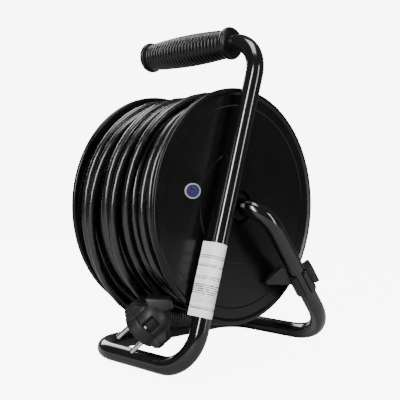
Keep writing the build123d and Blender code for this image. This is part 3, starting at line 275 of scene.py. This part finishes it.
# %% Wire jackets and the badge
finish("wire_brown", (0.09, 0.035, 0.014), (0.14, 0.055, 0.02), (0.3, 0.42), (800, 0.02))
finish("wire_blue", (0.012, 0.05, 0.26), (0.02, 0.08, 0.36), (0.3, 0.42), (800, 0.02))
finish("wire_earth", (0.1, 0.3, 0.03), (0.5, 0.52, 0.02), (0.3, 0.42), (800, 0.02))
finish("badge_blue", (0.015, 0.012, 0.07), (0.06, 0.055, 0.16), (0.2, 0.3), (900, 0.02),
       patch=260, Coat_Weight=0.5)
finish("badge_white", (0.3, 0.3, 0.36), (0.42, 0.42, 0.5), (0.25, 0.35), (900, 0.01))
print(len(finishes), "finishes")

# %% [markdown]
# ## Paper
#
# The label is white paper with small grey print. No words are drawn: the print is a set of
# plain bars, broken at uneven lengths. The bars run round the mast, so the pattern is turned
# to lie along the mast before its height is cut into lines.

# %% Paper with plain grey bars
MAST_FOOT = Vector((84.5, 76, 9)) * MM
MAST_TOP = Vector((-14.6, 76, 331)) * MM
mast_up = (MAST_TOP - MAST_FOOT).normalized()
mast_side = Vector((0, 1, 0))
mast_right = mast_side.cross(mast_up)
LABEL_FOOT = MAST_FOOT + mast_up * (49 * MM / mast_up.z)
LABEL_LENGTH = 71 * MM
LINE_PITCH = 2.0 * MM
LINE_HALF = 0.5 * MM
WORD_SCALE = 620
WORD_GAP = 0.38
INK_GREY = (0.05, 0.05, 0.06, 1)
PRINT_BLOCKS = (  # where along the label a block of print starts, and how dark it is
    (0.14, 0), (0.19, 0.35), (0.3, 0.95), (0.43, 0), (0.5, 0.7),
    (0.54, 0), (0.66, 0.85), (0.7, 0), (0.77, 0.8), (0.83, 0),
)


def label_paper():
    """White paper, with bars of grey print in lines across it."""
    paper = finish("label_paper", (0.86, 0.86, 0.84), (0.94, 0.94, 0.92), (0.5, 0.65),
                   (1400, 0.02))
    nodes = paper.node_tree.nodes
    links = paper.node_tree.links
    shader = nodes["Principled BSDF"]
    bare = shader.inputs["Base Color"].links[0].from_socket

    along = nodes.new("ShaderNodeVectorMath")
    along.operation = "DOT_PRODUCT"
    along.inputs[1].default_value = mast_up
    place = nodes.new("ShaderNodeTexCoord")
    links.new(place.outputs["Object"], along.inputs[0])

    from_foot = nodes.new("ShaderNodeMath")
    from_foot.operation = "SUBTRACT"
    from_foot.inputs[1].default_value = LABEL_FOOT.dot(mast_up)
    links.new(along.outputs["Value"], from_foot.inputs[0])

    lines = nodes.new("ShaderNodeMath")
    lines.operation = "PINGPONG"
    lines.inputs[1].default_value = LINE_PITCH / 2
    links.new(from_foot.outputs["Value"], lines.inputs[0])
    thin = nodes.new("ShaderNodeMath")
    thin.operation = "LESS_THAN"
    thin.inputs[1].default_value = LINE_HALF
    links.new(lines.outputs["Value"], thin.inputs[0])

    words = nodes.new("ShaderNodeTexNoise")
    words.inputs["Scale"].default_value = WORD_SCALE
    words.inputs["Detail"].default_value = 0
    links.new(place.outputs["Object"], words.inputs["Vector"])
    inked = nodes.new("ShaderNodeMath")
    inked.operation = "GREATER_THAN"
    inked.inputs[1].default_value = WORD_GAP
    links.new(words.outputs["Fac"], inked.inputs[0])

    blocks = nodes.new("ShaderNodeValToRGB")
    blocks.color_ramp.interpolation = "CONSTANT"
    stops = blocks.color_ramp.elements
    stops[0].position = 0
    stops[0].color = (0, 0, 0, 1)
    stops[1].position = 0.1
    stops[1].color = (1, 1, 1, 1)
    for position, darkness in PRINT_BLOCKS:
        stop = stops.new(position)
        stop.color = (darkness, darkness, darkness, 1)
    share = nodes.new("ShaderNodeMath")
    share.operation = "DIVIDE"
    share.inputs[1].default_value = LABEL_LENGTH
    links.new(from_foot.outputs["Value"], share.inputs[0])
    links.new(share.outputs["Value"], blocks.inputs["Fac"])

    line_ink = nodes.new("ShaderNodeMath")
    line_ink.operation = "MULTIPLY"
    links.new(thin.outputs["Value"], line_ink.inputs[0])
    links.new(inked.outputs["Value"], line_ink.inputs[1])
    ink = nodes.new("ShaderNodeMath")
    ink.operation = "MULTIPLY"
    links.new(line_ink.outputs["Value"], ink.inputs[0])
    links.new(blocks.outputs["Color"], ink.inputs[1])

    printed = nodes.new("ShaderNodeMix")
    printed.data_type = "RGBA"
    printed.inputs["B"].default_value = INK_GREY
    links.new(ink.outputs["Value"], printed.inputs["Factor"])
    links.new(bare, printed.inputs["A"])
    links.new(printed.outputs["Result"], shader.inputs["Base Color"])


label_paper()
print("the label is", round(LABEL_LENGTH / MM), "mm along the mast")

# %% [markdown]
# ## Dressing the modelled parts
#
# The record says which finish each part takes, so one loop dresses them all.

# %% Every modelled part gets its finish
for subpart in frame["record"]["subparts"]:
    part = frame["nodes"][subpart["node"]]
    part.data.materials.clear()
    part.data.materials.append(finishes[subpart["material_slot"]])
print(len(frame["nodes"]), "parts dressed")

# %% [markdown]
# ## The cord on the drum
#
# A wound cord is one long line. It leaves the hole in the drum's core, runs to one side, and
# then travels back and forth in layers. Wound by hand it is never tidy: the last layer lies
# loose, with gaps, and some turns cross others. A perfect spring shape would look false, so
# the line is laid turn by turn. At each point the cord looks at what lies below it, and rests
# on the highest earlier turn that it touches. Then a crossing is spread into a long low hump,
# because a stiff cord can't step over another at once.

# %% What the winding is made to
AXLE_HEIGHT = 160 * MM
CORD_D = 8.5 * MM
CORE_RADIUS = 60 * MM
SIDE = 53.0 * MM
TURN_POINTS = 24
STEP_ANGLE = math.tau / TURN_POINTS
HUMP_SLOPE = 1.9 * MM
HUMP_REACH = 5
STRAY_WAVES = 4
SLOWEST_WAVE = 0.37
WAVE_STEP = 0.31
FADE_IN = 6
CORE_HOLE_ANGLE = math.radians(225)
CORE_HOLE_SIDE = -22 * MM
WINDING_END = Vector((-55, 28, 60.5)) * MM


# %% Where each turn lies across the drum
def places_across(seed):
    """The cord's place across the drum at each point, from the core's hole to the last turn."""
    passes = (  # where the pass ends, its turns, and how far it strays in mm
        (-SIDE, 0.3, 0),
        (SIDE, 11.1, 0.3),
        (-SIDE, 11.1, 0.5),
        (SIDE, 11.1, 0.5),
        (-SIDE, 10.4, 0.8),
        (SIDE, 9.6, 1.4),
        (-SIDE, 9, 2.4),
        (WINDING_END.y, 5.46, 3.4),
    )
    chance = random.Random(seed)
    places = [CORE_HOLE_SIDE]
    for end, turns, stray in passes:
        start = places[-1]
        count = round(turns * TURN_POINTS)
        waves = [
            (chance.uniform(-1, 1), chance.uniform(0, math.tau)) for _ in range(STRAY_WAVES)
        ]
        for step in range(1, count + 1):
            share = step / count
            angle = share * turns * math.tau
            wave = sum(
                size * math.sin(angle * (SLOWEST_WAVE + WAVE_STEP * number) + phase)
                for number, (size, phase) in enumerate(waves)
            )
            fade = min(1, FADE_IN * share, FADE_IN * (1 - share))
            place = start + (end - start) * share + wave * stray * fade * MM
            places.append(max(-SIDE, min(SIDE, place)))
    return places


# %% Each turn rests on the ones below
def resting_radii(places):
    """How far from the axle each point lies, when it rests on every earlier turn it touches."""
    needed = []
    radii = []

    def need(index):
        """The radius at which this point clears all earlier turns beside it."""
        radius = CORE_RADIUS + CORD_D / 2
        for below in range(index - TURN_POINTS, -1, -TURN_POINTS):
            gap = abs(places[index] - places[below])
            if gap < CORD_D:
                radius = max(radius, radii[below] + math.sqrt(CORD_D**2 - gap**2))
        return radius

    for index in range(len(places)):
        while len(needed) < min(len(places), index + HUMP_REACH + 1):
            needed.append(need(len(needed)))
        near = range(max(0, index - HUMP_REACH), min(len(places), index + HUMP_REACH + 1))
        radii.append(max(needed[other] - HUMP_SLOPE * abs(other - index) for other in near))
    return radii


# %% A cord from its points
CORD_ROUNDNESS = 4


def cord_curve(name, points, material, steps):
    """A round cord on one smooth line. The points pull the line towards them, as on a spline."""
    curve = bpy.data.curves.new(name, "CURVE")
    curve.dimensions = "3D"
    curve.bevel_depth = CORD_D / 2
    curve.bevel_resolution = CORD_ROUNDNESS
    curve.use_fill_caps = True
    curve.resolution_u = steps
    line = curve.splines.new("NURBS")
    line.points.add(len(points) - 1)
    for knot, point in zip(line.points, points):
        knot.co = (*point, 1)
    line.order_u = 3
    line.use_endpoint_u = True
    line.use_smooth = True
    cord = bpy.data.objects.new(name, curve)
    bpy.context.scene.collection.objects.link(cord)
    curve.materials.append(material)
    return cord


# %% Lay the winding
places = places_across(seed=7)
radii = resting_radii(places)
corner_cut = 1 / math.cos(STEP_ANGLE / 2)
winding_points = []
for index, (place, radius) in enumerate(zip(places, radii)):
    angle = CORE_HOLE_ANGLE + index * STEP_ANGLE
    reach = radius * corner_cut
    winding_points.append(Vector((
        reach * math.cos(angle), place, AXLE_HEIGHT + reach * math.sin(angle))))
core_exit = Vector((
    CORE_RADIUS * math.cos(CORE_HOLE_ANGLE), CORE_HOLE_SIDE,
    AXLE_HEIGHT + CORE_RADIUS * math.sin(CORE_HOLE_ANGLE)))
winding_points[0] = core_exit
winding_points.append(WINDING_END)
print("its line reaches", round(max(radii) / MM, 1), "mm from the axle")

wound_cord = cord_curve("wound_cord", winding_points, finishes["cord_pvc"], steps=2)
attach(wound_cord, "drum")
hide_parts("cable_winding")

# %% [markdown]
# ## The free end
#
# The last of the cord hangs under the drum, comes out below the back flange and goes into the
# plug's strain relief. It rides on the stand, because the plug stays where it lies.

# %% The free end
tail_points = [Vector(point) * MM for point in (
    (-55, 28, 60.5),
    (-43, 31.5, 50.2),
    (-23, 37.5, 42.4),
    (-1, 43, 42.2),
    (23.6, 44, 44.4),
    (44.1, 41.9, 48.6),
)]
free_end = cord_curve("free_end", tail_points, finishes["cord_pvc"], steps=12)
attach(free_end, "stand")
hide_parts("cable_tail")

# %% [markdown]
# ## Turned pieces
#
# The grip and the plug's sleeve are round, so each is an outline spun about its own axis, as
# on a lathe. The outline is a chain of a few points: how far along, and how far out.

# %% A helper for turned pieces
SHARP_EDGE = math.radians(42)
SAME_PLACE = 0.01 * MM


def upright_to(direction):
    """The turn that brings up onto a direction."""
    return direction.to_track_quat("Z", "Y").to_matrix().to_4x4()


def new_piece(name, bm, material, body, slot, *stands_for):
    """A smooth piece from a finished bmesh, on a body, in place of the parts it stands for."""
    mesh = bpy.data.meshes.new(name)
    bm.to_mesh(mesh)
    bm.free()
    mesh.shade_smooth()
    mesh.set_sharp_from_angle(angle=SHARP_EDGE)
    mesh.materials.append(finishes[material])
    piece = bpy.data.objects.new(name, mesh)
    bpy.context.scene.collection.objects.link(piece)
    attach(piece, body)
    if stands_for:
        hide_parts(*stands_for)
    print(name, "has", len(mesh.polygons), "faces")
    return piece


def turned(outline, around):
    """A bmesh spun about Z from (along, out) points in millimetres."""
    bm = bmesh.new()
    chain = [bm.verts.new((out * MM, 0, along * MM)) for along, out in outline]
    edges = [bm.edges.new(pair) for pair in zip(chain, chain[1:])]
    bmesh.ops.spin(bm, geom=chain + edges, cent=(0, 0, 0), axis=(0, 0, 1),
                   angle=math.tau, steps=around, use_merge=True)
    bmesh.ops.remove_doubles(bm, verts=bm.verts, dist=SAME_PLACE)
    bmesh.ops.recalc_face_normals(bm, faces=bm.faces)
    return bm


# %% [markdown]
# ## The hand grip
#
# The grip is a rubber sleeve pushed over the end of the tube. It swells in the middle, has
# fine round ribs for a wet hand, and ends in a collar each side that stops the hand.

# %% The grip's outline
GRIP_START = Vector((-14.6, 36, 331)) * MM
GRIP_LENGTH = 131
GRIP_SLIM = 14.6
GRIP_SWELL = 2.9
GRIP_NECK = 14.4
GRIP_RIBS = 25
GRIP_COLLAR = 5.5
GRIP_BORE = 9.1
BORE_DEPTH = 4
RIB_DEPTH = 1.4
RIB_SHAPE = (  # how far through the rib, and what share of its depth it lies below the top
    (0.12, 0.45), (0.28, 0.08), (0.5, 0), (0.72, 0.08), (0.88, 0.45), (1, 1),
)


def grip_swell(share):
    """The grip's radius in mm, thick in the middle and slimmer at both ends."""
    return GRIP_SLIM + GRIP_SWELL * math.sin(math.pi * share) ** 0.9


def grip_outline():
    """The outer line of the grip, from its open end to its closed one."""
    line = [(0, GRIP_BORE), (0, 15.4), (0.7, 16.6), (2.2, 17.2), (4.4, 17), (GRIP_COLLAR, 15.9),
            (GRIP_COLLAR + 0.3, GRIP_NECK)]
    ribbed = GRIP_LENGTH - 2 * GRIP_COLLAR
    pitch = ribbed / GRIP_RIBS
    for rib in range(GRIP_RIBS):
        for part, drop in RIB_SHAPE:
            along = (rib + part) * pitch
            swell = grip_swell(along / ribbed)
            line.append((GRIP_COLLAR + along, swell - RIB_DEPTH * drop))
    end = GRIP_LENGTH - GRIP_COLLAR
    line[-1] = (end - 0.3, GRIP_NECK)
    line += [(end, 15.9), (end + 1.1, 17), (end + 3.3, 17.2), (end + 4.8, 16.6), (end + 5.5, 15.4),
             (end + 5.6, 12), (end + 5.2, 9), (end + 4.6, 5), (end + 4.4, 0)]
    return line


bm = turned(grip_outline(), around=72)
bore_rim = [edge for edge in bm.edges if edge.is_boundary]
throat = bmesh.ops.extrude_edge_only(bm, edges=bore_rim)["geom"]
throat_ring = [point for point in throat if isinstance(point, bmesh.types.BMVert)]
bmesh.ops.translate(bm, vec=(0, 0, BORE_DEPTH * MM), verts=throat_ring)
bmesh.ops.contextual_create(bm, geom=[edge for edge in bm.edges if edge.is_boundary])
bmesh.ops.recalc_face_normals(bm, faces=bm.faces)
bmesh.ops.transform(bm, matrix=Matrix.Translation(GRIP_START) @ upright_to(Vector((0, -1, 0))),
                    verts=bm.verts)
new_piece("ribbed_grip", bm, "grip_rubber", "stand", "grip_rubber", "handle_grip")

# %% [markdown]
# ## The label
#
# The label is a strip of paper that goes once round the mast. Its two ends are pressed
# together into a small flap, so the section is a teardrop: straight from the flap to the tube,
# round it, and straight back. A flat grid is rolled up along that line. The flap's lower corner
# has come open a little.

# %% The label
PAPER = 0.12 * MM
ROLL_RADIUS = 9.12 * MM
FLAP_REACH = 14.2 * MM
FLAP_ANGLE = math.radians(-45)
PLY_GAP = 0.16 * MM
OPENED = 1.6 * MM
OPENED_HEIGHT = 16 * MM

flap_half = math.acos(ROLL_RADIUS / FLAP_REACH)
flap_run = math.sqrt(FLAP_REACH**2 - ROLL_RADIUS**2)
wrap = math.tau - 2 * flap_half
roll_length = 2 * flap_run + ROLL_RADIUS * wrap


def across_mast(angle, radius):
    """A point of the mast's cross-section, as (right, side)."""
    return Vector((radius * math.cos(angle), radius * math.sin(angle)))


def rolled(point):
    """Where a point of the flat label goes when it is rolled round the mast."""
    run = (point.x + 0.5) * roll_length
    height = (point.y + 0.5) * LABEL_LENGTH
    from_end = min(run, roll_length - run)
    if from_end >= flap_run:
        section = across_mast(FLAP_ANGLE + flap_half + (run - flap_run) / ROLL_RADIUS, ROLL_RADIUS)
    else:
        turn = 1 if run < roll_length / 2 else -1
        apart = across_mast(FLAP_ANGLE + turn * math.pi / 2, 1)
        opened = max(0, 1 - height / OPENED_HEIGHT) ** 2 if turn > 0 else 0
        tip = across_mast(FLAP_ANGLE, FLAP_REACH) + apart * (PLY_GAP + OPENED * opened)
        contact = across_mast(FLAP_ANGLE + turn * flap_half, ROLL_RADIUS)
        section = tip + (contact - tip) * (from_end / flap_run)
    return LABEL_FOOT + mast_up * height + mast_right * section.x + mast_side * section.y


bm = bmesh.new()
bmesh.ops.create_grid(bm, x_segments=96, y_segments=30, size=0.5)
for corner in bm.verts:
    corner.co = rolled(corner.co)
bmesh.ops.recalc_face_normals(bm, faces=bm.faces)
bmesh.ops.solidify(bm, geom=bm.faces, thickness=PAPER)
bmesh.ops.recalc_face_normals(bm, faces=bm.faces)
new_piece("paper_label", bm, "label_paper", "stand", "label_paper", "rating_label")
print("flat, the label is", round(LABEL_LENGTH / MM), "by", round(roll_length / MM, 1), "mm")

# %% [markdown]
# ## The plug
#
# The plug is one rubber moulding with two round pins. Its face is a smooth collar. Behind the
# collar a grooved lobe stands out on each side for the fingers, and a pocket between them shows
# the end of the earth contact. A block at the back turns the cord to the side, through a ringed
# sleeve. The body is turned first, and then its skin is pushed in and out, as a sculptor would.

# %% Where the plug lies
PLUG_FACE = Vector((101.2, 21.9, 41.3)) * MM
pin_out = Vector((0.413, -0.605, -0.674)).normalized()
pair_along = Vector((-0.446, 0.474, -0.755))
pair_along = (pair_along - pin_out * pair_along.dot(pin_out)).normalized()
plug_side = pin_out.cross(pair_along)
cord_out = Vector((-0.970, 0.100, -0.200)).normalized()
plug_turn = Matrix((pair_along, plug_side, pin_out)).transposed().to_4x4()
plug_place = Matrix.Translation(PLUG_FACE) @ plug_turn
ELBOW = PLUG_FACE - pin_out * 25 * MM


# %% The plug's body
def smooth_step(low, high, value):
    """0 below low, 1 above high, and a soft rise between."""
    share = max(0, min(1, (value - low) / (high - low)))
    return share * share * (3 - 2 * share)


COLLAR_RADIUS = 18.5
BODY_RADIUS = 18.2
BACK_STEPS = 16


def plug_outline():
    """The plug's side, from the middle of its face to the middle of its back, in millimetres."""
    line = [(0, 0), (0, 8), (0, 15.5), (0, 17.6), (-0.5, 18.3), (-1.4, COLLAR_RADIUS)]
    line += [(-along, COLLAR_RADIUS) for along in (3, 5, 7, 9, 10.4)]
    line += [(-10.9, 18.3), (-11.2, 17.6), (-11.6, 17.3), (-12.2, 17.5)]
    line += [(-12.8 - 0.8 * step, BODY_RADIUS) for step in range(9)]
    for step in range(1, BACK_STEPS + 1):
        angle = step * math.pi / (2 * BACK_STEPS)
        line.append((-19.6 - 17 * math.sin(angle), 0.1 + 18 * math.cos(angle)))
    line[-1] = (-36.6, 0)
    return line


# %% Its lobes, grooves and pockets
LOBE_REACH = 7.2
LOBE_HALF_ANGLE = (32, 42)
LOBE_FRONT = (2.5, 6)
LOBE_BACK = (19, 24)
LOBE_GROOVE = 2.2
GROOVE_ANGLE = 15
POCKET_DEPTH = 5.4
POCKET_MIDDLE = 2.0
POCKET_HALF_WIDTH = (5, 6.6)
POCKET_FRONT = (11.6, 12.8)
POCKET_BACK = (23, 26)


def push_skin(point):
    """Move a point of the plug's side to make the lobes, their grooves and the pockets."""
    across, out, along = point / MM
    radius = math.hypot(across, out)
    if radius < 1:
        return point
    angle = math.atan2(out, across)
    from_pins = math.degrees(min(abs(angle), math.pi - abs(angle)))
    lobe = 1 - smooth_step(*LOBE_HALF_ANGLE, from_pins)
    lobe *= smooth_step(*LOBE_FRONT, -along) * (1 - smooth_step(*LOBE_BACK, -along))
    groove = 0.5 - 0.5 * math.cos(math.radians(from_pins * 360 / GROOVE_ANGLE))
    pocket = 1 - smooth_step(*POCKET_HALF_WIDTH, abs(across - POCKET_MIDDLE))
    pocket *= smooth_step(*POCKET_FRONT, -along) * (1 - smooth_step(*POCKET_BACK, -along))
    new = radius + lobe * (LOBE_REACH - LOBE_GROOVE * groove) - POCKET_DEPTH * pocket
    scale = new / radius
    return Vector((point.x * scale, point.y * scale, point.z))


bm = turned(plug_outline(), around=160)
for skin in bm.verts:
    skin.co = push_skin(skin.co)

# %% The block at the plug's back
BLOCK_CORNERS = (  # along the pins' line, along the pins' axis, and half the depth, in mm
    (-3.5, -23, 12), (-20.5, -29.5, 10.5), (5.5, -44, 9), (-2.4, -47.5, 8),
)
BLOCK_ROUND = 1.8
block = bmesh.new()
for across, along, half_depth in BLOCK_CORNERS:
    for out in (-half_depth, half_depth):
        block.verts.new(Vector((across, out, along)) * MM)
bmesh.ops.convex_hull(block, input=block.verts)
bmesh.ops.dissolve_limit(block, angle_limit=math.radians(3), verts=block.verts, edges=block.edges)
bmesh.ops.bevel(block, geom=block.edges, offset=BLOCK_ROUND * MM, segments=3, affect="EDGES",
                profile=0.5, material=-1)
block_mesh = bpy.data.meshes.new("plug_block")
block.to_mesh(block_mesh)
block.free()
bm.from_mesh(block_mesh)
bpy.data.meshes.remove(block_mesh)
bmesh.ops.transform(bm, matrix=plug_place, verts=bm.verts)
bmesh.ops.recalc_face_normals(bm, faces=bm.faces)
plug_shell = new_piece("plug_shell", bm, "plug_rubber", "stand", "plug_rubber", "plug_body")

# %% The ringed sleeve
SLEEVE_RINGS = 13
SLEEVE_LENGTH = 48
SLEEVE_ROOT = 12
SLEEVE_TAPER = 6.4
RING_DEPTH = 0.55
RING_SHAPE = (  # how far through the ring, and what share of its depth it lies below the top
    (0.1, 0.2), (0.3, 0), (0.62, 0), (0.8, 0.3), (0.9, 1), (1, 1),
)


def sleeve_outline():
    """The side of the plug's sleeve, from inside the body to the cord, ringed all along."""
    line = [(-9, 0), (-8, 6), (-4, 10.5), (0, 12.2), (4, 12.2)]
    ringed = SLEEVE_LENGTH - 5
    pitch = ringed / SLEEVE_RINGS
    for ring in range(SLEEVE_RINGS):
        for part, drop in RING_SHAPE:
            along = (ring + part) * pitch
            radius = SLEEVE_ROOT - SLEEVE_TAPER * (along / ringed) ** 0.85
            line.append((5 + along, radius - RING_DEPTH * drop))
    line += [(SLEEVE_LENGTH + 0.3, 4.9), (SLEEVE_LENGTH, 4.3), (SLEEVE_LENGTH - 3, 4.0),
             (SLEEVE_LENGTH - 3, 0)]
    return line


bm = turned(sleeve_outline(), around=56)
bmesh.ops.transform(bm, matrix=Matrix.Translation(ELBOW) @ upright_to(cord_out), verts=bm.verts)
plug_sleeve = new_piece("plug_sleeve", bm, "plug_rubber", "stand", "plug_rubber",
                        "plug_strain_relief")

# %% [markdown]
# ## Last, the sizes
#
# The finished reel is measured again, and how much it has grown beyond the modelled one is
# printed.

# %% Print how much the reel has grown
look_low, look_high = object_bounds()
grown = (look_high - look_low) - (cad_high - cad_low)
print("grown by, in mm:", [round(a / MM, 1) for a in grown])
